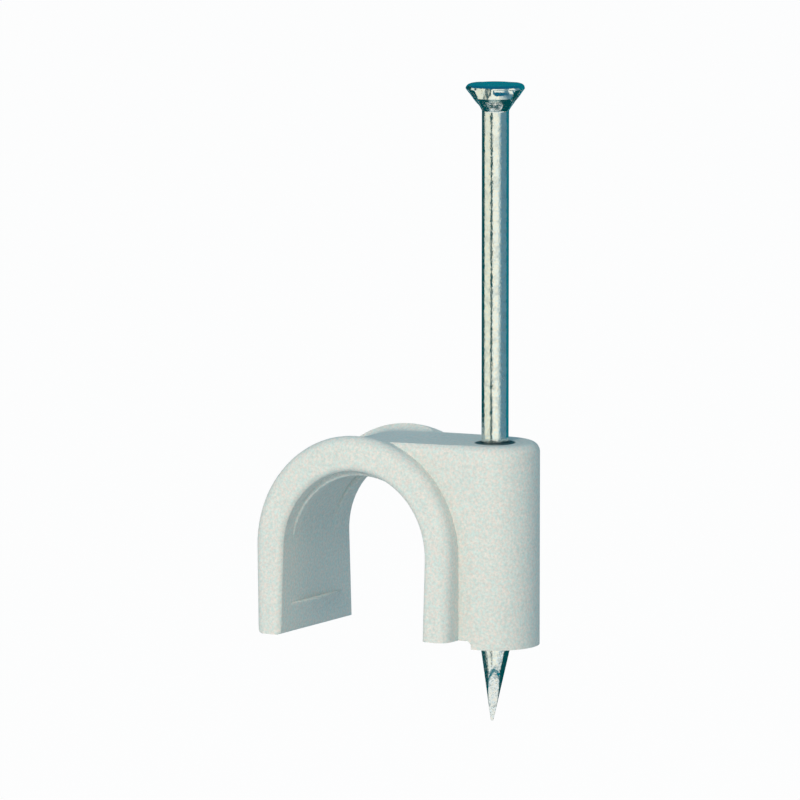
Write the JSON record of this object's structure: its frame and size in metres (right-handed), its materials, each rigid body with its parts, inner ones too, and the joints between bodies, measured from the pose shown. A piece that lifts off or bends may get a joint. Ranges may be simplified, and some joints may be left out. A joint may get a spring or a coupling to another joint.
{
  "type": "nail-in cable clip",
  "caption": "Moulded hook that straddles a cable, with a round-ended boss at one side that carries a countersunk steel nail to be driven into the wall.",
  "frame": {"origin": "on the nail's axis, in the plane of the wall that the clip is fixed to", "axes": "+Z from the wall to the nail's head, +X from the hook to the boss, Y along the cable"},
  "size_m": [0.0203, 0.01, 0.045],
  "materials": {
    "clip_plastic": "moulded, fine matte, light grey",
    "nail_steel": "bright zinc plate on drawn steel"
  },
  "bodies": {
    "clip": {"clip": "clip_plastic"},
    "nail": {"nail": "nail_steel"}
  },
  "joints": [
    {"name": "nail_drive", "type": "slide", "parent": "clip", "child": "nail", "axis": [0, 0, -1], "range_m": [0, 0.0234]}
  ]
}
